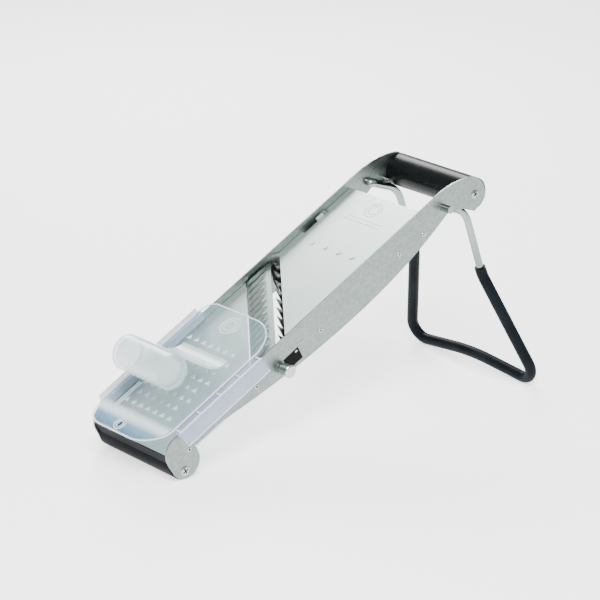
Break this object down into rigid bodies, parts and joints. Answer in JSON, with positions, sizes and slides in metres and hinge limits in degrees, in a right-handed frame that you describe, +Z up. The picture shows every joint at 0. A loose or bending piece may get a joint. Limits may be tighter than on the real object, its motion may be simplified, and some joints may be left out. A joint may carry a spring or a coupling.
{
  "type": "mandoline slicer",
  "caption": "Inclined kitchen slicer with a diagonal ripple blade, hinged in-feed plate, comb of upright teeth, folding wire leg and a sliding clear food guard.",
  "frame": {"origin": "on the table, in the middle of the foot bar's resting flat", "axes": "+X along the table from the foot bar towards the folding leg, +Y across to the side without the knob, +Z up"},
  "size_m": [0.4205, 0.1706, 0.2042],
  "materials": {
    "steel_plate": "brushed stainless steel, 1.5 mm",
    "steel_sheet": "pale brushed stainless sheet",
    "blade_steel": "ground blade steel",
    "bright_steel": "bright turned steel",
    "leg_steel": "bright drawn wire",
    "handle_black": "glossy black plastic",
    "foot_rubber": "black rubber",
    "sleeve_rubber": "matt black rubber tube",
    "scale_black": "black plastic with one pale mark",
    "slider_grey": "grey moulded plastic",
    "guard_clear": "clear polycarbonate",
    "grip_frosted": "milky polycarbonate"
  },
  "bodies": {
    "base": {"side_plate_right": "steel_plate", "side_plate_left": "steel_plate", "handle_grip": "handle_black", "handle_rod": "bright_steel", "handle_screws": "bright_steel", "foot_bar": "foot_rubber", "foot_rod": "bright_steel", "foot_screws": "bright_steel", "outfeed_plate": "steel_sheet", "blade": "blade_steel", "blade_carrier": "steel_plate", "blade_pins": "bright_steel", "infeed_hinge_rod": "bright_steel", "rivets": "bright_steel", "comb_bracket_right": "steel_plate", "comb_bracket_left": "steel_plate", "comb_posts": "bright_steel", "blade_end_block": "scale_black", "scale_block": "scale_black", "slider_rail": "scale_black", "plate_rest": "steel_plate", "leg_stops": "bright_steel"},
    "infeed": {"infeed_plate": "steel_sheet"},
    "slider": {"thickness_slider": "scale_black"},
    "comb": {"comb_bar": "scale_black", "comb_teeth": "blade_steel"},
    "knob": {"knob": "bright_steel", "knob_shaft": "bright_steel", "comb_cam": "bright_steel"},
    "leg": {"leg_rod": "leg_steel", "leg_sleeve": "sleeve_rubber"},
    "guard": {"guard_sheet": "guard_clear", "guard_channel_right": "guard_clear", "guard_channel_left": "guard_clear", "guard_grip": "grip_frosted", "guard_grip_caps": "grip_frosted", "guard_web": "grip_frosted", "guard_spikes": "guard_clear", "guard_stud": "guard_clear"}
  },
  "joints": [
    {"name": "infeed_tilt", "type": "hinge", "parent": "base", "child": "infeed", "pos_m": [0.26654, 0, 0.16195], "axis": [0, -1, 0], "range_deg": [0, 1.75]},
    {"name": "slider_slide", "type": "slide", "parent": "base", "child": "slider", "axis": [-0.8829, 0, -0.4695], "range_m": [0, 0.016]},
    {"name": "comb_lift", "type": "slide", "parent": "base", "child": "comb", "axis": [0.4695, 0, -0.8829], "range_m": [0, 0.007]},
    {"name": "knob_turn", "type": "hinge", "parent": "base", "child": "knob", "pos_m": [0.10499, 0, 0.07492], "axis": [0, 1, 0], "range_deg": [0, 120]},
    {"name": "leg_fold", "type": "hinge", "parent": "base", "child": "leg", "pos_m": [0.28934, 0, 0.18212], "axis": [0, 1, 0], "range_deg": [0, 80]},
    {"name": "guard_slide", "type": "slide", "parent": "base", "child": "guard", "axis": [0.8829, 0, 0.4695], "range_m": [0, 0.195]}
  ],
  "couplings": [
    {"joint": "knob_turn", "follows": "comb_lift", "rad_per_m": 299},
    {"joint": "infeed_tilt", "follows": "slider_slide", "rad_per_m": 1.9}
  ]
}
